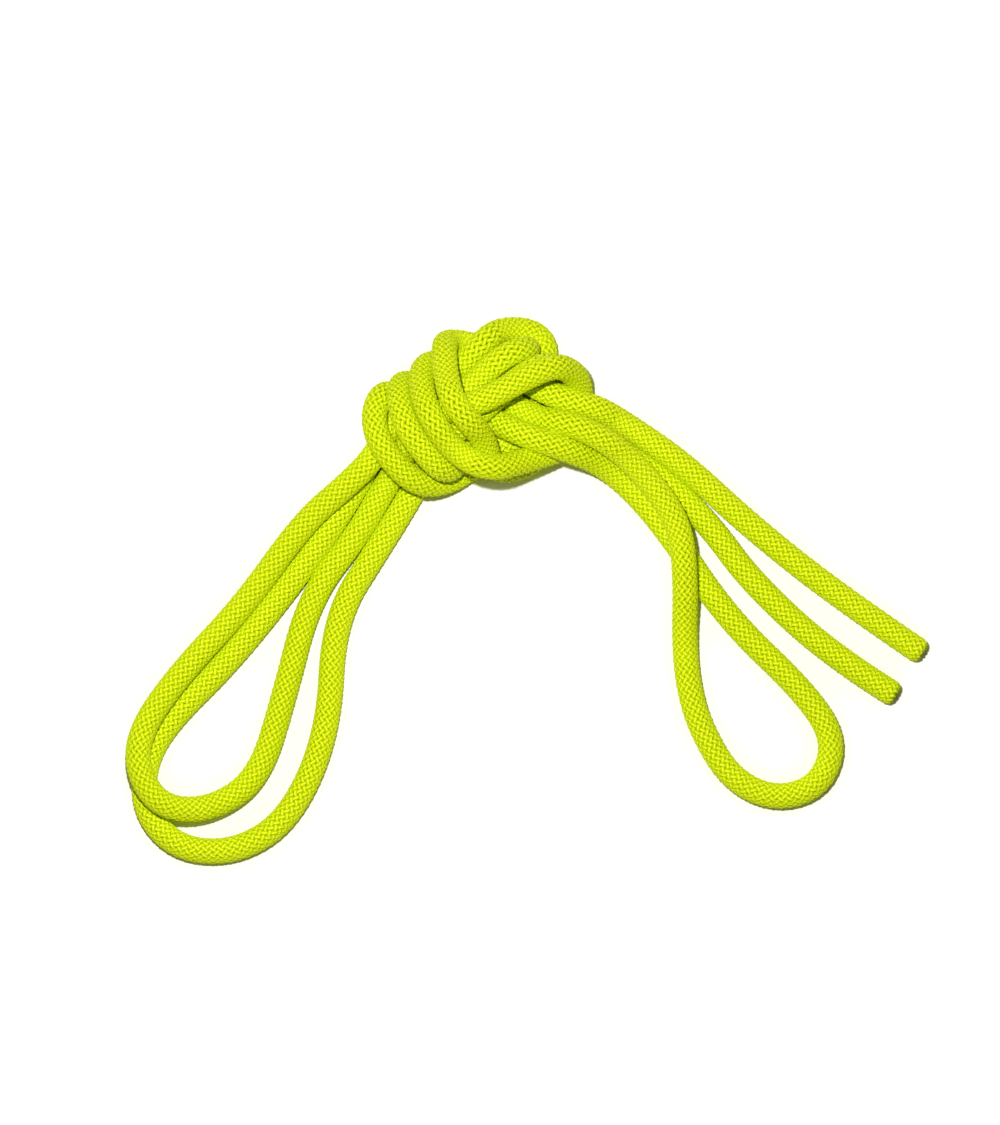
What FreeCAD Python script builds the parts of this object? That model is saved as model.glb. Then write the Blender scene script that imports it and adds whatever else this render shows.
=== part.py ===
import FreeCAD, Part
import math
import os

from FreeCAD import Vector

# A bright braided dynamic climbing rope, folded in half twice so that four strands lie side by
# side, and tied in one large overhand knot. The rope is a sheath round a core, and both of its
# cut ends are melted shut. It lies on a flat surface at z = 0, seen from +Z: the two cut ends and
# the middle bight point to +X, the two other bights to -X, and the knot is at +Y. Millimetres.

SIZES = [
    ("rope_diameter", 10.0, "sheath, across its outer corners"),
    ("sheath_sides", 6, "flats round the sheath"),
    ("sheath_wall", 1.7, "from the sheath's outer circle to the bore's corners"),
    ("core_sides", 3, "three strands laid together, as their outline"),
    ("core_clearance", 0.15, "between each flat of the core and the bore"),
    ("seal_length", 2.6, "melted end, from the cut face to the tip"),
    ("seal_seat_inset", 0.8, "from the sheath's corners to the melted end's, on the cut face"),
    ("seal_side_inset", 0.2, "the same where the melted end is widest"),
    ("seal_swell", 0.7, "from the cut face to where the melted end is widest"),
    ("seal_bevel", 0.9, "bevel round the melted end's tip, both ways"),
]

# the bore's straight stretches leave the rope's line by about this much at most
BORE_BULGE = 1.0

# The rope's line, from one cut end to the other, as its corners. Every strand is named by where
# it runs: FIRST_END leads into the knot, LANE_1 to LANE_4 are the four passes through the knot,
# and each BIGHT is a fold that hangs free. z = 4 lies on the floor.
FIRST_END = [(162.5, -25, 4), (127, -1.5, 4), (91, 27.5, 4), (64, 52.5, 4), (40, 69, 5)]

LANE_1 = [(28, 75.1, 17.5), (14, 78.2, 20.6), (1, 84.6, 14.1), (-12.37, 94.15, 15),
          (-19, 100.6, 4), (-32.5, 103.6, 11), (-34, 100, 25.5), (-32, 86.5, 38),
          (-30, 77.5, 47.5), (-24, 69, 46), (-18, 62.5, 33), (-14.5, 49, 20.5), (1, 49, 9),
          (8, 60, 4), (12.5, 76, 4), (13.1, 91, 12.2), (6, 93, 25.1), (-10, 82.1, 28.1),
          (-23, 69.5, 25.7), (-37.5, 59.5, 22.5), (-42, 51.9, 5.5), (-47.5, 40, 4)]

OUTER_BIGHT = [(-60.3, 17.6, 4), (-79, -11.6, 4), (-83, -57.3, 4), (-97.5, -92, 4),
               (-118, -107, 4), (-142, -106.5, 4), (-156.5, -92, 4), (-157.5, -72, 4),
               (-148, -54, 4), (-120.3, -27.2, 4), (-89, 14.1, 4), (-71.5, 41.5, 4)]

LANE_2 = [(-61, 60.5, 4), (-45, 62.5, 6.5), (-34.5, 72, 20), (-20.5, 86.5, 21), (-8.5, 97, 27),
          (2, 99.4, 15), (-5.2, 95.9, 4), (-8.8, 82, 4), (-11.9, 66.3, 4), (-25.8, 58.5, 4),
          (-32.7, 46.1, 25.8), (-46.2, 61, 35.3), (-52.7, 74.5, 31.2), (-52.7, 85.4, 17.4),
          (-48.5, 86.8, 4), (-33.5, 83.5, 4), (-20.9, 75, 7.6), (-11.1, 67.6, 22.2), (3, 62, 29),
          (18, 57, 23.6), (29.5, 51, 10.5), (42, 42.6, 4)]

MIDDLE_BIGHT = [(57.3, 25, 4), (82.3, -10.8, 4), (113, -41.5, 4), (125.5, -61.5, 4),
                (120, -80, 4), (101.5, -85.9, 4), (83, -77, 4), (70.7, -56.2, 4), (66.2, -39, 4),
                (64.2, -20, 4), (64.7, 6, 14.5), (60, 27.5, 14.5)]

LANE_3 = [(42, 50.5, 15.5), (30, 62, 25.7), (15.5, 69.5, 28), (0, 73.5, 22), (-13.9, 82.1, 14.6),
          (-23.5, 90.5, 4), (-38, 96, 5.5), (-43.9, 91.6, 19.1), (-44, 80, 34.2),
          (-38.7, 69, 43.1), (-29, 55.5, 34), (-15, 48.5, 38), (1, 52, 23), (15.6, 56.5, 11.1),
          (21, 64.5, 4), (23.8, 79, 5), (22.3, 89, 18), (12.1, 93, 34.1), (-4.5, 85, 38.5),
          (-20.5, 76, 37.4), (-34.3, 74, 31), (-47, 64.5, 22.3), (-53.1, 50.4, 9.5),
          (-58.5, 42.5, 4)]

INNER_BIGHT = [(-69.8, 23.8, 4), (-88.5, -3, 4), (-99.6, -43.2, 4), (-111, -76, 4),
               (-129.5, -90.5, 8), (-150, -90, 13.5), (-159.6, -74.6, 15.5),
               (-158.9, -57.3, 14.5), (-142.3, -33, 10), (-116.7, -5.4, 5.5), (-92, 28, 9.5)]

LANE_4 = [(-74, 44.5, 14.5), (-62.5, 56, 15.5), (-57, 68, 14), (-43, 78, 15), (-29, 89.5, 14.4),
          (-19, 103.45, 20.85), (-10.5, 108.5, 10.1), (4, 107.5, 4), (10, 98, 4), (2.7, 87, 4),
          (1, 73, 4), (-6.5, 54.5, 4), (-21.5, 47.5, 4), (-32.9, 42.9, 8.2), (-46.5, 44.4, 20.4),
          (-58, 57, 26.7), (-63.5, 69.5, 24.5), (-63, 80, 15), (-58.5, 78.5, 4), (-46, 75.2, 4),
          (-32.3, 70.8, 4), (-25, 63.6, 17), (-12, 57.5, 13.2), (1, 64.5, 15.6),
          (14.5, 68.5, 15.5), (27, 64, 16.5)]

SECOND_END = [(36, 59, 4), (57.4, 44.4, 4), (75.4, 25.4, 4), (91.2, 4.2, 4), (123.4, -25.8, 4),
              (151.5, -42.5, 4)]

# the middle of the whole rope, which becomes the origin
MIDDLE = Vector(1.1, 0.7, 0)

ROUTE = (FIRST_END + LANE_1 + OUTER_BIGHT + LANE_2 + MIDDLE_BIGHT + LANE_3 + INNER_BIGHT
         + LANE_4 + SECOND_END)


def make_sheet(doc):
    # one row per driving size: its name, its value and what it is
    sheet = doc.addObject("Spreadsheet::Sheet", "sizes")
    for row, (name, value, note) in enumerate(SIZES, start=1):
        sheet.set("A%d" % row, name)
        sheet.set("B%d" % row, str(value))
        sheet.set("C%d" % row, note)
        sheet.setAlias("B%d" % row, name)
    doc.recompute()
    return sheet


def rounded_line(points):
    # straight runs joined by tangent arcs, each as large as the shorter of its two runs allows,
    # and the same line in straight stretches: through the middle of every arc, and through its
    # ends too where it bulges far
    edges = []
    radii = []
    stretches = [points[0]]
    start = points[0]
    for before, corner, after in zip(points, points[1:], points[2:]):
        back = before - corner
        ahead = after - corner
        cut = 0.45 * min(back.Length, ahead.Length)
        back.normalize()
        ahead.normalize()
        half_turn = (math.pi - back.getAngle(ahead)) / 2
        radius = cut / math.tan(half_turn)
        inward = back + ahead
        inward.normalize()
        middle = corner + inward * (radius / math.cos(half_turn) - radius)
        edges.append(Part.LineSegment(start, corner + back * cut).toShape())
        edges.append(Part.Arc(corner + back * cut, middle, corner + ahead * cut).toShape())
        radii.append(radius)
        start = corner + ahead * cut
        if radius * (1 - math.cos(half_turn)) > BORE_BULGE:
            stretches += [corner + back * cut, middle, start]
        else:
            stretches.append(middle)
    edges.append(Part.LineSegment(start, points[-1]).toShape())
    return Part.Wire(edges), Part.makePolygon(stretches + [points[-1]]), radii


def least_gap(line, diameter):
    # least distance between two stretches of the line that lie apart along it, less the diameter
    step = 1.0
    apart = 2.5 * diameter
    points = line.discretize(Number=int(line.Length / step) + 1)
    cells = {}
    least = apart
    for index, point in enumerate(points):
        cell = tuple(int(math.floor(c / (1.5 * diameter))) for c in point)
        for x in (-1, 0, 1):
            for y in (-1, 0, 1):
                for z in (-1, 0, 1):
                    for other in cells.get((cell[0] + x, cell[1] + y, cell[2] + z), []):
                        if index - other > apart / step:
                            least = min(least, point.distanceToPoint(points[other]))
        cells.setdefault(cell, []).append(index)
    return least - diameter


def across(start, toward):
    # a placement whose Z axis runs from start toward the next point, its X axis level
    ahead = toward - start
    ahead.normalize()
    side = Vector(0, 0, 1).cross(ahead)
    return FreeCAD.Placement(start, FreeCAD.Rotation(side, ahead.cross(side), ahead, "ZXY"))


def make_polygon(doc, name, placement, sides, radius):
    polygon = doc.addObject("Part::RegularPolygon", name)
    polygon.setExpression("Polygon", sides)
    polygon.setExpression("Circumradius", radius)
    polygon.Placement = placement
    return polygon


def make_sweep(doc, name, line, placement, sides, radius, corners="Transformed"):
    # a regular polygon, carried along the whole line
    polygon = make_polygon(doc, name + "_section", placement, sides, radius)
    sweep = doc.addObject("Part::Sweep", name + "_sweep")
    sweep.Sections = [polygon]
    sweep.Spine = (line, [])
    sweep.Solid = True
    sweep.Frenet = False
    sweep.Transition = corners
    return sweep


def make_floor(doc):
    # what the rope lies on: it takes the lowest part off whatever reaches below z = 0
    floor = doc.addObject("Part::Box", "floor")
    floor.Length = 400
    floor.Width = 300
    floor.setExpression("Height", "sizes.rope_diameter")
    floor.Placement = FreeCAD.Placement(Vector(-200, -150, 0), FreeCAD.Rotation())
    floor.setExpression("Placement.Base.z", "-sizes.rope_diameter")
    return floor


def cut(doc, name, base, tool):
    piece = doc.addObject("Part::Cut", name)
    piece.Base = base
    piece.Tool = tool
    piece.Label = name
    return piece


def make_seal(doc, name, placement, floor):
    # a melted end: a blunt plug that swells a little past the cut face and is bevelled round
    # its tip, ruled between four outlines along the rope's own line
    outlines = []
    for label, along, inset in (
            ("seat", "0", "sizes.seal_seat_inset"),
            ("wide", "sizes.seal_swell", "sizes.seal_side_inset"),
            ("bevel", "sizes.seal_length - sizes.seal_bevel", "sizes.seal_side_inset"),
            ("tip", "sizes.seal_length", "(sizes.seal_side_inset + sizes.seal_bevel)")):
        outline = make_polygon(doc, name + "_" + label, placement, "sizes.sheath_sides",
                               "sizes.rope_diameter / 2 - " + inset)
        ahead = placement.Rotation.multVec(Vector(0, 0, 1))
        for axis, start, slope in zip("xyz", placement.Base, ahead):
            outline.setExpression("Placement.Base." + axis,
                                  "%.6f + %.6f * (%s)" % (start, slope, along))
        outlines.append(outline)
    plug = doc.addObject("Part::Loft", name + "_plug")
    plug.Sections = outlines
    plug.Solid = True
    plug.Ruled = True
    return cut(doc, name, plug, floor)


def check(doc, pieces):
    for thing in doc.Objects:
        if "Invalid" in thing.State or "Error" in thing.State:
            raise RuntimeError("%s did not build: %s" % (thing.Name, thing.State))
    for piece in pieces:
        if piece.Shape.isNull() or not piece.Shape.isValid() or len(piece.Shape.Solids) != 1:
            raise RuntimeError("%s has no sound solid" % piece.Label)


def main():
    os.makedirs("parts", exist_ok=True)
    doc = FreeCAD.newDocument("rope")
    sheet = make_sheet(doc)
    floor = make_floor(doc)

    points = [Vector(*corner) - MIDDLE for corner in ROUTE]
    wire, polygon, radii = rounded_line(points)
    line = doc.addObject("Part::Feature", "rope_line")
    line.Shape = wire
    stretches = doc.addObject("Part::Feature", "rope_stretches")
    stretches.Shape = polygon
    first_end = across(points[0], points[1])
    first_cut = across(points[0], points[0] * 2 - points[1])
    second_cut = across(points[-1], points[-1] * 2 - points[-2])

    outside = make_sweep(doc, "outside", line, first_end, "sizes.sheath_sides",
                         "sizes.rope_diameter / 2")
    # the bore and the core follow the line in straight stretches, with mitred corners
    bore = make_sweep(doc, "bore", stretches, first_end, "sizes.core_sides",
                      "sizes.rope_diameter / 2 - sizes.sheath_wall", "Right corner")
    # a flat of a regular polygon moves in by its circle's change times cos(180 / sides)
    core = make_sweep(doc, "core", stretches, first_end, "sizes.core_sides",
                      "sizes.rope_diameter / 2 - sizes.sheath_wall"
                      " - sizes.core_clearance / cos(180deg / sizes.core_sides)", "Right corner")
    core.Label = "core"
    hollow = cut(doc, "hollow", outside, bore)
    sheath = cut(doc, "sheath", hollow, floor)
    pieces = [
        sheath,
        core,
        make_seal(doc, "end_seal_1", first_cut, floor),
        make_seal(doc, "end_seal_2", second_cut, floor)]
    doc.recompute()
    check(doc, pieces)

    section = Part.Face(Part.Wire(outside.Sections[0].Shape.Edges)).Area
    gap = least_gap(wire, sheet.rope_diameter)
    print("line %.0f mm, %d arcs, radii %.1f to %.0f mm" % (
        wire.Length, len(radii), min(radii), max(radii)))
    print("tightest", ", ".join("%.1f" % radius for radius in sorted(radii)[:12]))
    print("volume of the outside %.0f mm3, its section times the line %.0f mm3" % (
        outside.Shape.Volume, section * wire.Length))
    print("volume with the bore %.0f mm3, outside less bore %.0f mm3" % (
        hollow.Shape.Volume, outside.Shape.Volume - bore.Shape.Volume))
    print("least gap to itself %.2f mm" % gap)
    for piece in pieces:
        print(piece.Label, len(piece.Shape.Faces), "faces", round(piece.Shape.Volume), "mm3",
              piece.Shape.optimalBoundingBox(True, False))
        piece.Shape.exportStep("parts/%s.step" % piece.Label)


main()
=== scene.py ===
import bpy
import bmesh
import math
import numpy as np
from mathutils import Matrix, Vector


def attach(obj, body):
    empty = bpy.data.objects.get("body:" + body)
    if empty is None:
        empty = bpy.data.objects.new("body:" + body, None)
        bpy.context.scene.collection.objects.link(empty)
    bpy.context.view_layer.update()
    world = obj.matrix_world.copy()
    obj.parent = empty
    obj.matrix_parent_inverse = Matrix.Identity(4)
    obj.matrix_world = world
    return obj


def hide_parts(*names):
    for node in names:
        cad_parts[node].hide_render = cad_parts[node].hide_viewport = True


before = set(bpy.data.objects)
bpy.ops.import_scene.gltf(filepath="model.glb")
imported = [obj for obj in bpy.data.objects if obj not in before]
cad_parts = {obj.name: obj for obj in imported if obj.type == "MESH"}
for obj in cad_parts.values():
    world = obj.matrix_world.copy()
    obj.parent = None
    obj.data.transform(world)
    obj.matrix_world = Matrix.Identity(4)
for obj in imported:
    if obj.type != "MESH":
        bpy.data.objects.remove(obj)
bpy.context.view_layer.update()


def newObject(name, data):
    thing = bpy.data.objects.new(name, data)
    bpy.context.collection.objects.link(thing)
    return thing


# The rope's line from one cut end to the other: the same corners as in the source, in metres.
# They are the control points of one smooth curve.
ropeLine = {
    "firstEnd": [(0.1625, -0.025, 0.004), (0.127, -0.0015, 0.004), (0.091, 0.0275, 0.004),
        (0.064, 0.0525, 0.004), (0.04, 0.069, 0.005)],
    "firstLane": [(0.028, 0.0751, 0.0175), (0.014, 0.0782, 0.0206), (0.001, 0.0846, 0.0141),
        (-0.01237, 0.09415, 0.015), (-0.019, 0.1006, 0.004), (-0.0325, 0.1036, 0.011),
        (-0.034, 0.1, 0.0255), (-0.032, 0.0865, 0.038), (-0.03, 0.0775, 0.0475),
        (-0.024, 0.069, 0.046), (-0.018, 0.0625, 0.033), (-0.0145, 0.049, 0.0205),
        (0.001, 0.049, 0.009), (0.008, 0.06, 0.004), (0.0125, 0.076, 0.004),
        (0.0131, 0.091, 0.0122), (0.006, 0.093, 0.0251), (-0.01, 0.0821, 0.0281),
        (-0.023, 0.0695, 0.0257), (-0.0375, 0.0595, 0.0225), (-0.042, 0.0519, 0.0055),
        (-0.0475, 0.04, 0.004)],
    "outerBight": [(-0.0603, 0.0176, 0.004), (-0.079, -0.0116, 0.004), (-0.083, -0.0573, 0.004),
        (-0.0975, -0.092, 0.004), (-0.118, -0.107, 0.004), (-0.142, -0.1065, 0.004),
        (-0.1565, -0.092, 0.004), (-0.1575, -0.072, 0.004), (-0.148, -0.054, 0.004),
        (-0.1203, -0.0272, 0.004), (-0.089, 0.0141, 0.004), (-0.0715, 0.0415, 0.004)],
    "secondLane": [(-0.061, 0.0605, 0.004), (-0.045, 0.0625, 0.0065), (-0.0345, 0.072, 0.02),
        (-0.0205, 0.0865, 0.021), (-0.0085, 0.097, 0.027), (0.002, 0.0994, 0.015),
        (-0.0052, 0.0959, 0.004), (-0.0088, 0.082, 0.004), (-0.0119, 0.0663, 0.004),
        (-0.0258, 0.0585, 0.004), (-0.0327, 0.0461, 0.0258), (-0.0462, 0.061, 0.0353),
        (-0.0527, 0.0745, 0.0312), (-0.0527, 0.0854, 0.0174), (-0.0485, 0.0868, 0.004),
        (-0.0335, 0.0835, 0.004), (-0.0209, 0.075, 0.0076), (-0.0111, 0.0676, 0.0222),
        (0.003, 0.062, 0.029), (0.018, 0.057, 0.0236), (0.0295, 0.051, 0.0105),
        (0.042, 0.0426, 0.004)],
    "middleBight": [(0.0573, 0.025, 0.004), (0.0823, -0.0108, 0.004), (0.113, -0.0415, 0.004),
        (0.1255, -0.0615, 0.004), (0.12, -0.08, 0.004), (0.1015, -0.0859, 0.004),
        (0.083, -0.077, 0.004), (0.0707, -0.0562, 0.004), (0.0662, -0.039, 0.004),
        (0.0642, -0.02, 0.004), (0.0647, 0.006, 0.0145), (0.06, 0.0275, 0.0145)],
    "thirdLane": [(0.042, 0.0505, 0.0155), (0.03, 0.062, 0.0257), (0.0155, 0.0695, 0.028),
        (0, 0.0735, 0.022), (-0.0139, 0.0821, 0.0146), (-0.0235, 0.0905, 0.004),
        (-0.038, 0.096, 0.0055), (-0.0439, 0.0916, 0.0191), (-0.044, 0.08, 0.0342),
        (-0.0387, 0.069, 0.0431), (-0.029, 0.0555, 0.034), (-0.015, 0.0485, 0.038),
        (0.001, 0.052, 0.023), (0.0156, 0.0565, 0.0111), (0.021, 0.0645, 0.004),
        (0.0238, 0.079, 0.005), (0.0223, 0.089, 0.018), (0.0121, 0.093, 0.0341),
        (-0.0045, 0.085, 0.0385), (-0.0205, 0.076, 0.0374), (-0.0343, 0.074, 0.031),
        (-0.047, 0.0645, 0.0223), (-0.0531, 0.0504, 0.0095), (-0.0585, 0.0425, 0.004)],
    "innerBight": [(-0.0698, 0.0238, 0.004), (-0.0885, -0.003, 0.004), (-0.0996, -0.0432, 0.004),
        (-0.111, -0.076, 0.004), (-0.1295, -0.0905, 0.008), (-0.15, -0.09, 0.0135),
        (-0.1596, -0.0746, 0.0155), (-0.1589, -0.0573, 0.0145), (-0.1423, -0.033, 0.01),
        (-0.1167, -0.0054, 0.0055), (-0.092, 0.028, 0.0095)],
    "fourthLane": [(-0.074, 0.0445, 0.0145), (-0.0625, 0.056, 0.0155), (-0.057, 0.068, 0.014),
        (-0.043, 0.078, 0.015), (-0.029, 0.0895, 0.0144), (-0.019, 0.10345, 0.02085),
        (-0.0105, 0.1085, 0.0101), (0.004, 0.1075, 0.004), (0.01, 0.098, 0.004),
        (0.0027, 0.087, 0.004), (0.001, 0.073, 0.004), (-0.0065, 0.0545, 0.004),
        (-0.0215, 0.0475, 0.004), (-0.0329, 0.0429, 0.0082), (-0.0465, 0.0444, 0.0204),
        (-0.058, 0.057, 0.0267), (-0.0635, 0.0695, 0.0245), (-0.063, 0.08, 0.015),
        (-0.0585, 0.0785, 0.004), (-0.046, 0.0752, 0.004), (-0.0323, 0.0708, 0.004),
        (-0.025, 0.0636, 0.017), (-0.012, 0.0575, 0.0132), (0.001, 0.0645, 0.0156),
        (0.0145, 0.0685, 0.0155), (0.027, 0.064, 0.0165)],
    "secondEnd": [(0.036, 0.059, 0.004), (0.0574, 0.0444, 0.004), (0.0754, 0.0254, 0.004),
        (0.0912, 0.0042, 0.004), (0.1234, -0.0258, 0.004), (0.1515, -0.0425, 0.004)]}

# where the soft rope lies closer than the stiff corners above, each by its place in the line:
# how far the corner is moved
closerCorners = {
    ("firstEnd", 0): (-0.0026, 0.0007, 0),
    ("firstEnd", 1): (-0.0003, -0.0003, 0),
    ("firstEnd", 2): (-0.0004, -0.0005, 0.0015),
    ("firstEnd", 3): (-0.0004, -0.0004, 0.0030),
    ("firstEnd", 4): (-0.0003, -0.0006, 0.0030),
    ("firstLane", 4): (-0.0004, -0.0006, 0),
    ("firstLane", 5): (-0.0002, -0.0012, 0),
    ("firstLane", 6): (-0.0004, -0.0010, 0),
    ("firstLane", 7): (-0.0012, 0, 0),
    ("firstLane", 8): (-0.0006, 0, 0),
    ("firstLane", 11): (0, -0.0004, 0),
    ("firstLane", 12): (-0.0012, 0.0013, 0),
    ("firstLane", 21): (0.0002, -0.0002, 0),
    ("outerBight", 0): (-0.0006, 0.0003, 0),
    ("outerBight", 1): (-0.0004, 0.0002, 0),
    ("outerBight", 2): (0.0015, -0.0004, 0),
    ("outerBight", 3): (0.0008, -0.0005, 0),
    ("outerBight", 9): (-0.0002, 0.0002, 0),
    ("outerBight", 10): (0.0004, -0.0003, 0),
    ("outerBight", 11): (0.0006, -0.0004, 0),
    ("secondLane", 0): (0.0004, -0.0002, 0),
    ("secondLane", 12): (0.0004, -0.0006, 0),
    ("secondLane", 13): (0, -0.0012, 0),
    ("secondLane", 14): (0.0006, -0.0016, 0),
    ("secondLane", 20): (0.0007, 0.0010, 0),
    ("middleBight", 1): (-0.0006, -0.0005, 0),
    ("middleBight", 2): (0.0004, 0.0002, 0),
    ("middleBight", 3): (0.0008, 0.0002, 0),
    ("middleBight", 8): (-0.0004, 0, 0),
    ("middleBight", 10): (0, 0, 0.0010),
    ("middleBight", 11): (0.0019, 0.0019, 0.0010),
    ("thirdLane", 0): (0.0016, 0.0020, 0.0010),
    ("thirdLane", 1): (0.0003, 0.0005, 0),
    ("thirdLane", 2): (0.0003, -0.0008, 0),
    ("thirdLane", 3): (0.0012, -0.0028, -0.0050),
    ("thirdLane", 4): (0, 0, -0.0020),
    ("thirdLane", 6): (0.0008, -0.0018, 0),
    ("thirdLane", 7): (0.0003, -0.0008, 0),
    ("thirdLane", 8): (0.0008, 0, 0),
    ("thirdLane", 11): (0, 0.0006, 0),
    ("thirdLane", 12): (-0.0006, 0.0014, 0),
    ("thirdLane", 13): (-0.0004, 0.0018, 0),
    ("thirdLane", 15): (-0.0018, 0, 0),
    ("thirdLane", 16): (-0.0019, -0.0008, 0),
    ("thirdLane", 17): (-0.0006, -0.0004, 0),
    ("innerBight", 0): (0.0006, -0.0004, 0),
    ("innerBight", 1): (-0.0009, 0.0003, 0),
    ("innerBight", 2): (-0.0001, 0, 0),
    ("innerBight", 3): (0.0011, -0.0008, 0),
    ("innerBight", 4): (0, 0.0006, 0),
    ("innerBight", 5): (0.0005, 0.0009, 0),
    ("innerBight", 8): (0.0004, -0.0004, 0),
    ("innerBight", 9): (0.0006, -0.0006, 0),
    ("innerBight", 10): (0.0001, -0.0001, 0),
    ("fourthLane", 0): (0.0008, -0.0007, 0),
    ("fourthLane", 1): (0.0006, -0.0006, 0),
    ("fourthLane", 5): (0.0010, -0.0010, 0),
    ("fourthLane", 6): (0.0004, -0.0013, 0),
    ("fourthLane", 7): (-0.0006, -0.0013, 0),
    ("fourthLane", 8): (-0.0014, -0.0008, 0),
    ("fourthLane", 12): (0.0002, 0.0042, 0),
    ("fourthLane", 13): (-0.0010, 0.0006, 0),
    ("fourthLane", 14): (0, -0.0008, 0),
    ("fourthLane", 15): (-0.0008, 0, 0),
    ("fourthLane", 16): (-0.0001, 0, 0),
    ("fourthLane", 17): (0.0026, 0.0002, 0.0030),
    ("fourthLane", 18): (0.0038, 0.0022, 0.0030),
    ("secondEnd", 1): (0.0001, 0.0001, 0),
    ("secondEnd", 2): (0.0002, 0.0002, 0),
    ("secondEnd", 5): (-0.0026, 0.0008, 0)}

# "middle" is taken from every corner; the yarns run on past the cut faces by "tip"
rope = {
    "middle": (0.0011, 0.0007, 0),
    "diameter": 0.010,
    "curveSteps": 12,
    "step": 0.0005,
    "tip": 0.0021,
    "drawnIn": 0.0034,
    "narrowing": 0.36,
    "floorGive": 0.0003}


def ropeCorners():
    middle = Vector(rope["middle"])
    corners = []
    for part, places in ropeLine.items():
        for number, place in enumerate(places):
            move = closerCorners.get((part, number), (0, 0, 0))
            corners.append(Vector(place) - middle + Vector(move))
    return corners


def smoothCurve(name, corners):
    curve = bpy.data.curves.new(name, "CURVE")
    curve.dimensions = "3D"
    curve.resolution_u = rope["curveSteps"]
    spline = curve.splines.new("NURBS")
    spline.points.add(len(corners) - 1)
    for point, corner in zip(spline.points, corners):
        point.co = (*corner, 1)
    spline.order_u = 3
    spline.use_endpoint_u = True
    return newObject(name, curve)


def evenPoints(points, step):
    lengths = np.concatenate([[0], np.cumsum(np.linalg.norm(np.diff(points, axis=0), axis=1))])
    at = np.linspace(0, lengths[-1], int(lengths[-1] / step) + 1)
    return at, np.stack([np.interp(at, lengths, points[:, axis]) for axis in range(3)], 1)


def followLine(curveObject):
    # points along the smooth curve, each with its own untwisted side and up directions, and
    # carried straight on past both cut faces to the tips
    mesh = bpy.data.meshes.new_from_object(curveObject)
    points = np.array([v.co for v in mesh.vertices])
    bpy.data.meshes.remove(mesh)
    tips = []
    for face, inside in ((0, 1), (-1, -2)):
        outward = points[face] - points[inside]
        tips.append(points[face] + outward / np.linalg.norm(outward) * rope["tip"])
    at, points = evenPoints(np.vstack([tips[0], points, tips[1]]), rope["step"])
    ahead = np.gradient(points, axis=0)
    ahead /= np.linalg.norm(ahead, axis=1)[:, None]
    side = np.empty_like(points)
    side[0] = np.cross(ahead[0], (0, 0, 1))
    side[0] /= np.linalg.norm(side[0])
    for k in range(1, len(points)):
        carried = side[k - 1] - ahead[k] * (side[k - 1] @ ahead[k])
        side[k] = carried / np.linalg.norm(carried)
    return {"at": at, "point": points, "ahead": ahead, "side": side, "up": np.cross(side, ahead)}


def along(line, key, where):
    return np.stack([np.interp(where, line["at"], line[key][:, axis]) for axis in range(3)], 1)


def layOnFloor(points):
    # a soft rope flattens where it lies: what would sink under the floor spreads just above it
    give = rope["floorGive"]
    low = points[..., 2] < give
    points[..., 2] = np.where(low, give * np.exp((points[..., 2] - give) / give), points[..., 2])
    return points


def drawnIn(where, length):
    # the rope is a little narrower over its last millimetres, rounded like the melted tips
    fromTip = np.minimum(where, length - where)
    short = np.clip(1 - fromTip / rope["drawnIn"], 0, 1)
    return 1 - rope["narrowing"] * (1 - np.sqrt(1 - short ** 2))


def yarnPath(line, yarns, where, turn, start, wave=None):
    # where one yarn runs: its middle, the directions across it and out of the rope, and how strong
    # the painted highlight on its crown is, strongest where it is on top of the yarns that it
    # crosses
    angle = turn * 2 * math.pi * where / yarns["lay"] + start
    point = along(line, "point", where)
    side = along(line, "side", where)
    up = along(line, "up", where)
    out = side * np.cos(angle)[:, None] + up * np.sin(angle)[:, None]
    height, highlightStrength = 0, np.zeros(len(where))
    if wave is not None:
        height = yarns["rise"] * np.cos(wave)
        highlightStrength = np.clip(yarns["highlightSharpness"] * np.cos(wave) + yarns["highlightShift"], 0, 1)
    reach = (yarns["midRadius"] + height) * drawnIn(where, line["at"][-1])
    middle = point + out * reach[:, None]
    run = np.gradient(middle, axis=0)
    run /= np.linalg.norm(run, axis=1)[:, None]
    across = np.cross(run, out)
    across /= np.linalg.norm(across, axis=1)[:, None]
    return middle, across, out, highlightStrength


def closeTubes(mesh, sides):
    # join each grid's long edges into a seam and fill its two ends
    build = bmesh.new()
    build.from_mesh(mesh)
    bmesh.ops.remove_doubles(build, verts=build.verts, dist=1e-7)
    bmesh.ops.holes_fill(build, edges=[e for e in build.edges if e.is_boundary], sides=sides)
    bmesh.ops.recalc_face_normals(build, faces=build.faces)
    for face in build.faces:
        face.smooth = True
    build.to_mesh(mesh)
    build.free()
    mesh.update()


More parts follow.
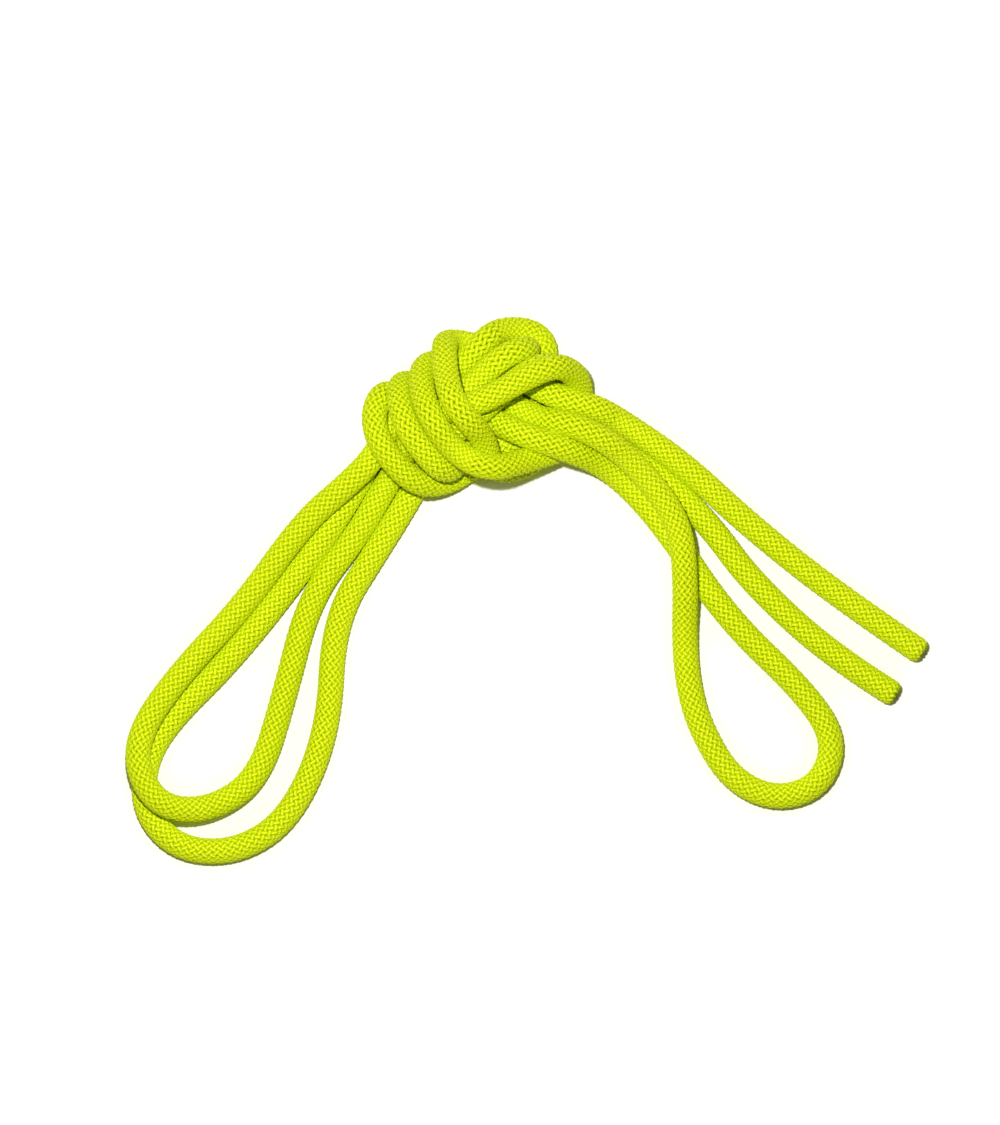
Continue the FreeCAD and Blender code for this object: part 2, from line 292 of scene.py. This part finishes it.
def makeYarns(name, paths, section):
    # one grid for each yarn, bent round its section and laid along its path
    rings, sides = len(paths[0][0]), len(section)
    build = bmesh.new()
    build.loops.layers.uv.new("yarn")
    for path in paths:
        bmesh.ops.create_grid(build, x_segments=rings - 1, y_segments=sides, size=1, calc_uvs=True)
    mesh = bpy.data.meshes.new(name)
    build.to_mesh(mesh)
    build.free()
    flat = np.empty(len(mesh.vertices) * 3)
    mesh.vertices.foreach_get("co", flat)
    flat = flat.reshape(len(paths), -1, 3)
    closed = np.array(section + section[:1])
    paintedHighlight = mesh.attributes.new("paintedHighlight", "FLOAT", "POINT")
    paintedHighlights = []
    for grid, (middle, across, out, highlightStrength) in zip(flat, paths):
        ring = np.rint((grid[:, 0] + 1) / 2 * (rings - 1)).astype(int)
        corner = np.rint((grid[:, 1] + 1) / 2 * sides).astype(int)
        wide, high = closed[corner, 0], closed[corner, 1]
        grid[:] = middle[ring] + across[ring] * wide[:, None] + out[ring] * high[:, None]
        # only the crown vertex of each yarn carries the painted highlight
        paintedHighlights.append(highlightStrength[ring] * (high == max(closed[:, 1])))
    mesh.vertices.foreach_set("co", layOnFloor(flat).ravel())
    paintedHighlight.data.foreach_set("value", np.concatenate(paintedHighlights))
    closeTubes(mesh, sides)
    return newObject(name, mesh)


# 12 yarns lean left and 12 lean right, each over one and under one of the others
sheathYarns = {
    "eachWay": 12,
    "lay": 0.0394,
    "midRadius": 0.00484,
    "rise": 0.00020,
    "width": 0.00212,
    "thickness": 0.00062,
    "edgeDroop": 0.30,
    "crownWide": 0.26,
    "crownHigh": 0.24,
    # how the painted highlight on each yarn's crown rises and falls along the yarn
    "highlightSharpness": 2.2,
    "highlightShift": 0.4,
    "ringsPerWave": 6,
    "piecesEachWay": 4}


def yarnSection(yarns):
    # a flattened yarn: crowned on top, with its edges drooping round the rope
    width, thickness = yarns["width"], yarns["thickness"]
    edge = -yarns["edgeDroop"] * thickness
    crownWide, crownHigh = width * yarns["crownWide"], thickness * yarns["crownHigh"]
    return [(-width / 2, edge), (0, -thickness / 2), (width / 2, edge),
            (crownWide, crownHigh), (0, thickness * 0.5), (-crownWide, crownHigh)]


def makeSheathYarns(line):
    yarns = sheathYarns
    count = yarns["eachWay"]
    crossing = yarns["lay"] / (2 * count)
    spacing = 2 * crossing / yarns["ringsPerWave"]
    where = np.linspace(0, line["at"][-1], int(line["at"][-1] / spacing) + 1)
    section = yarnSection(yarns)
    made = []
    for turn, lean in ((1, "left"), (-1, "right")):
        # left yarns are on top at every even crossing, right yarns at every odd one
        wave = math.pi * (where / crossing + (0 if turn > 0 else 1))
        paths = [yarnPath(line, yarns, where, turn, 2 * math.pi * k / count, wave)
                 for k in range(count)]
        share = count // yarns["piecesEachWay"]
        for number in range(yarns["piecesEachWay"]):
            chosen = paths[number * share:(number + 1) * share]
            made.append(makeYarns("%sYarns%d" % (lean, number + 1), chosen, section))
    return made


# a smooth tube between the yarns and the core, which closes the gaps between the yarns; its colour
# is the yarn's colour in painted shade, seen down the gaps
innerSleeve = {
    "radius": 0.0037,
    "resolution": 7,
    "colour": (0.55, 0.69, 0.0005),
    "roughness": 0.8}


def thickenSleeve(curveObject):
    curveObject.data.bevel_depth = innerSleeve["radius"]
    curveObject.data.bevel_resolution = innerSleeve["resolution"]
    curveObject.data.use_fill_caps = True


# three twisted strands carry the load
coreStrands = {
    "count": 3,
    "lay": 0.042,
    "midRadius": 0.00184,
    "width": 0.0034,
    "sides": 8,
    "spacing": 0.0030,
    "colour": (0.8, 0.8, 0.76),
    "roughness": 0.7}


def makeCore(line):
    strands = coreStrands
    inside = rope["tip"]
    length = line["at"][-1] - 2 * inside
    where = inside + np.linspace(0, length, int(length / strands["spacing"]) + 1)
    around = [2 * math.pi * k / strands["sides"] for k in range(strands["sides"])]
    section = [(-math.cos(a) * strands["width"] / 2, -math.sin(a) * strands["width"] / 2)
               for a in around]
    paths = [yarnPath(line, strands, where, 1, 2 * math.pi * k / strands["count"])
             for k in range(strands["count"])]
    return makeYarns("coreStrands", paths, section)


# the yarns end in a thin melted rim; the lumps are its unevenness, as (waves round, height, turn)
meltedEnd = {
    "length": 0.00025,
    "overlap": 0.0005,
    "radius": 0.00330,
    "segments": 48,
    "rings": 24,
    "edgeFullness": 0.4,
    "faceFlatness": 0.5,
    "lumps": [(5, 0.02, 1.3), (11, 0.015, 0)],
    # the rim is coloured a very dark olive all round
    "colour": (0.035, 0.042, 0.003),
    "roughness": 0.45}


def makeMeltedEnd(name, line, index):
    # the yarns run together into one thin, slightly domed rim at the tip
    end = meltedEnd
    outward = -1 if index == 0 else 1
    base = Vector(line["point"][index])
    ahead = Vector(line["ahead"][index]) * outward
    turned = ahead.to_track_quat("Z", "Y").to_matrix()
    build = bmesh.new()
    bmesh.ops.create_uvsphere(build, u_segments=end["segments"], v_segments=end["rings"], radius=1)
    half = (end["length"] + end["overlap"]) / 2
    for vert in build.verts:
        x, y, z = vert.co
        spread = math.hypot(x, y)
        scale = spread ** end["edgeFullness"] / spread if spread > 1e-6 else 0
        angle = math.atan2(y, x)
        lumpy = 1 + sum(high * math.sin(waves * angle + turn) for waves, high, turn in end["lumps"])
        flat = math.copysign(abs(z) ** end["faceFlatness"], z)
        place = Vector((x * scale * end["radius"] * lumpy, y * scale * end["radius"] * lumpy,
                        flat * half + half - end["overlap"]))
        vert.co = base + turned @ place
    for face in build.faces:
        face.smooth = True
    mesh = bpy.data.meshes.new(name)
    build.to_mesh(mesh)
    build.free()
    points = np.empty(len(mesh.vertices) * 3)
    mesh.vertices.foreach_get("co", points)
    mesh.vertices.foreach_set("co", layOnFloor(points.reshape(-1, 3)).ravel())
    return newObject(name, mesh)


def newMaterial(name):
    material = bpy.data.materials.new(name)
    material.use_nodes = True
    nodes = material.node_tree.nodes
    return material, nodes, material.node_tree.links, nodes["Principled BSDF"]


def node(nodes, kind, **values):
    made = nodes.new(kind)
    for key, value in values.items():
        if key in made.inputs:
            made.inputs[key].default_value = value
        else:
            setattr(made, key, value)
    return made


def mixColours(nodes, links, first, second, amount):
    # inputs 6 and 7 and output 2 of a mix node are its colours
    mix = nodes.new("ShaderNodeMix")
    mix.data_type = "RGBA"
    mix.inputs[6].default_value = (*first, 1)
    mix.inputs[7].default_value = (*second, 1)
    links.new(amount, mix.inputs[0])
    return mix.outputs[2]


neonYarn = {
    # a painted highlight colour for the yarn crowns over a painted shade colour for their flanks
    "paintedHighlight": (0.89, 0.99, 0.020),
    "shadedFlank": (0.55, 0.69, 0.0005),
    "roughness": 0.6,
    "specular": 0.06,
    "highlightFrom": 0.15,
    "highlightTo": 0.55,
    "patchScale": 220.0,
    "patchDetail": 3.0,
    "patchShade": 0.22,
    "plyScale": 2.2,
    "plyStrength": 0.5,
    "plyHeight": 0.00012,
    "filamentStretch": (2600, 34, 1),
    "filamentDetail": 2.0,
    "filamentStrength": 0.4,
    "filamentHeight": 0.00006}


def yarnMaterial():
    yarn = neonYarn
    material, nodes, links, shader = newMaterial("neonYarn")
    shader.inputs["Roughness"].default_value = yarn["roughness"]
    shader.inputs["Specular IOR Level"].default_value = yarn["specular"]
    # painted highlight: a light stroke along the crown of each yarn where it is on top; the darker
    # flank colour around it is painted shade
    highlightAttribute = node(nodes, "ShaderNodeAttribute", attribute_name="paintedHighlight")
    highlightShare = nodes.new("ShaderNodeMapRange")
    highlightShare.inputs["From Min"].default_value = yarn["highlightFrom"]
    highlightShare.inputs["From Max"].default_value = yarn["highlightTo"]
    links.new(highlightAttribute.outputs["Fac"], highlightShare.inputs["Value"])
    place = nodes.new("ShaderNodeTexCoord")
    patches = node(nodes, "ShaderNodeTexNoise", Scale=yarn["patchScale"], Detail=yarn["patchDetail"])
    links.new(place.outputs["Object"], patches.inputs["Vector"])
    shade = nodes.new("ShaderNodeMapRange")
    shade.inputs["To Min"].default_value = -yarn["patchShade"]
    shade.inputs["To Max"].default_value = yarn["patchShade"]
    links.new(patches.outputs["Fac"], shade.inputs["Value"])
    total = node(nodes, "ShaderNodeMath", operation="ADD", use_clamp=True)
    links.new(highlightShare.outputs["Result"], total.inputs[0])
    links.new(shade.outputs["Result"], total.inputs[1])
    colour = mixColours(nodes, links, yarn["shadedFlank"], yarn["paintedHighlight"], total.outputs[0])
    links.new(colour, shader.inputs["Base Color"])
    # the plies of each yarn, and the fine filaments along them
    uv = node(nodes, "ShaderNodeUVMap", uv_map="yarn")
    plies = nodes.new("ShaderNodeMapping")
    plies.inputs["Scale"].default_value = (0, 1, 1)
    links.new(uv.outputs["UV"], plies.inputs["Vector"])
    ridges = node(nodes, "ShaderNodeTexWave", bands_direction="Y", Scale=yarn["plyScale"],
                  Distortion=0.0)
    links.new(plies.outputs["Vector"], ridges.inputs["Vector"])
    stretch = nodes.new("ShaderNodeMapping")
    stretch.inputs["Scale"].default_value = yarn["filamentStretch"]
    links.new(uv.outputs["UV"], stretch.inputs["Vector"])
    filaments = node(nodes, "ShaderNodeTexNoise", Scale=1.0, Detail=yarn["filamentDetail"])
    links.new(stretch.outputs["Vector"], filaments.inputs["Vector"])
    plyBump = node(nodes, "ShaderNodeBump", Strength=yarn["plyStrength"], Distance=yarn["plyHeight"])
    links.new(ridges.outputs["Fac"], plyBump.inputs["Height"])
    bump = node(nodes, "ShaderNodeBump", Strength=yarn["filamentStrength"],
                Distance=yarn["filamentHeight"])
    links.new(filaments.outputs["Fac"], bump.inputs["Height"])
    links.new(plyBump.outputs["Normal"], bump.inputs["Normal"])
    links.new(bump.outputs["Normal"], shader.inputs["Normal"])
    return material


# what the sleeve, the core and the melted ends share
plainSurface = {
    "specular": 0.2,
    "patchScale": 600.0,
    "patchDetail": 3.0,
    "darkest": 0.7,
    "bumpStrength": 0.5,
    "bumpHeight": 0.0001}


def plainMaterial(name, piece):
    surface = plainSurface
    material, nodes, links, shader = newMaterial(name)
    shader.inputs["Roughness"].default_value = piece["roughness"]
    shader.inputs["Specular IOR Level"].default_value = surface["specular"]
    place = nodes.new("ShaderNodeTexCoord")
    patches = node(nodes, "ShaderNodeTexNoise", Scale=surface["patchScale"],
                   Detail=surface["patchDetail"])
    links.new(place.outputs["Object"], patches.inputs["Vector"])
    dark = [c * surface["darkest"] for c in piece["colour"]]
    colour = mixColours(nodes, links, dark, piece["colour"], patches.outputs["Fac"])
    links.new(colour, shader.inputs["Base Color"])
    bump = node(nodes, "ShaderNodeBump", Strength=surface["bumpStrength"],
                Distance=surface["bumpHeight"])
    links.new(patches.outputs["Fac"], bump.inputs["Height"])
    links.new(bump.outputs["Normal"], shader.inputs["Normal"])
    return material


# "reach" is how close the rope has to lie to dim the glow into painted shade, and "fade" how fast it
# dims
whiteFloor = {
    "halfSize": 4,
    "below": 0.0001,
    "shade": 0.90,
    "roughness": 0.9,
    "glow": 0.45,
    "glowColour": (0.9, 0.9, 1),
    "reach": 0.014,
    "fade": 8.0}


def makeFloor():
    sheet = whiteFloor
    build = bmesh.new()
    bmesh.ops.create_grid(build, x_segments=1, y_segments=1, size=sheet["halfSize"])
    mesh = bpy.data.meshes.new("floor")
    build.to_mesh(mesh)
    build.free()
    floor = newObject("floor", mesh)
    floor.location.z = -sheet["below"]
    material, nodes, links, shader = newMaterial("whiteFloor")
    shader.inputs["Base Color"].default_value = (*[sheet["shade"]] * 3, 1)
    shader.inputs["Roughness"].default_value = sheet["roughness"]
    shader.inputs["Specular IOR Level"].default_value = 0.0
    shader.inputs["Emission Color"].default_value = (*sheet["glowColour"], 1)
    # the glow keeps the sheet white, and fades where the rope lies close, which paints a shade on
    # the floor round the rope
    rays = nodes.new("ShaderNodeLightPath")
    openness = node(nodes, "ShaderNodeAmbientOcclusion", Distance=sheet["reach"], samples=8)
    sharper = node(nodes, "ShaderNodeMath", operation="POWER")
    links.new(openness.outputs["AO"], sharper.inputs[0])
    sharper.inputs[1].default_value = sheet["fade"]
    glow = node(nodes, "ShaderNodeMath", operation="MULTIPLY")
    links.new(sharper.outputs[0], glow.inputs[0])
    glow.inputs[1].default_value = sheet["glow"]
    strength = node(nodes, "ShaderNodeMath", operation="MULTIPLY")
    links.new(rays.outputs["Is Camera Ray"], strength.inputs[0])
    links.new(glow.outputs[0], strength.inputs[1])
    links.new(strength.outputs[0], shader.inputs["Emission Strength"])
    mesh.materials.append(material)


# a small lamp high above gives the thin shadows at the rope's lower edges
keyLamp = {
    "place": (-0.12, 0.205, 1.4),
    "size": 0.05,
    "power": 20.1}


def makeLamp():
    light = bpy.data.lights.new("key", "AREA")
    light.size = keyLamp["size"]
    light.energy = keyLamp["power"]
    lamp = newObject("key", light)
    lamp.location = keyLamp["place"]
    lamp.rotation_euler = (-Vector(keyLamp["place"])).to_track_quat("-Z", "Y").to_euler()


# the sky is seen as "backdrop" and lights the rope with "fill"
sky = {
    "fill": (0.13, 0.135, 0.035),
    "backdrop": (1, 1, 1)}


def makeWorld():
    world = bpy.data.worlds.new("studio")
    world.use_nodes = True
    bpy.context.scene.world = world
    nodes, links = world.node_tree.nodes, world.node_tree.links
    rays = nodes.new("ShaderNodeLightPath")
    colour = mixColours(nodes, links, sky["fill"], sky["backdrop"], rays.outputs["Is Camera Ray"])
    links.new(colour, nodes["Background"].inputs["Color"])


# the photo's frame in pixels, seen from straight above
photoFrame = {
    "height": 1125,
    "metresPerPixel": 0.00041,
    "centre": (-0.0124, 0.0108),
    "lens": 500.0,
    "clipEnd": 100}


def makeCamera():
    seen = photoFrame
    data = bpy.data.cameras.new("camera")
    data.lens = seen["lens"]
    data.clip_end = seen["clipEnd"]
    camera = newObject("camera", data)
    tall = seen["height"] * seen["metresPerPixel"]
    distance = tall / 2 / (data.sensor_width / 2 / data.lens)
    camera.location = (*seen["centre"], distance)
    bpy.context.scene.camera = camera


bpy.context.scene.view_settings.view_transform = "Standard"
makeCamera()
corners = ropeCorners()
ropeCurve = smoothCurve("innerSleeve", corners)
line = followLine(ropeCurve)
print("rope line %.3f m" % line["at"][-1])
thickenSleeve(ropeCurve)
yarnPieces = makeSheathYarns(line)
triangles = sum(len(piece.data.polygons) for piece in yarnPieces) * 2
print("sheath", len(yarnPieces), "pieces", triangles, "triangles")
core = makeCore(line)
print("core", len(core.data.polygons) * 2, "triangles")
ends = [makeMeltedEnd("meltedEnd1", line, 0), makeMeltedEnd("meltedEnd2", line, -1)]
print("melted ends", len(ends))

yarnFinish = yarnMaterial()
ropeCurve.data.materials.append(plainMaterial("yarnInShade", innerSleeve))
core.data.materials.append(plainMaterial("coreYarn", coreStrands))
endFinish = plainMaterial("darkRimYarn", meltedEnd)
for piece in yarnPieces:
    piece.data.materials.append(yarnFinish)
for piece in ends:
    piece.data.materials.append(endFinish)
print("materials", len(bpy.data.materials))

for piece in [ropeCurve, core, *yarnPieces, *ends]:
    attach(piece, "root")
for piece in [ropeCurve, *yarnPieces]:
    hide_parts("sheath")
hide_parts("core")
for number, piece in enumerate(ends, start=1):
    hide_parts("end_seal_%d" % number)

makeFloor()
makeWorld()
makeLamp()
print("floor, sky and lamp ready")
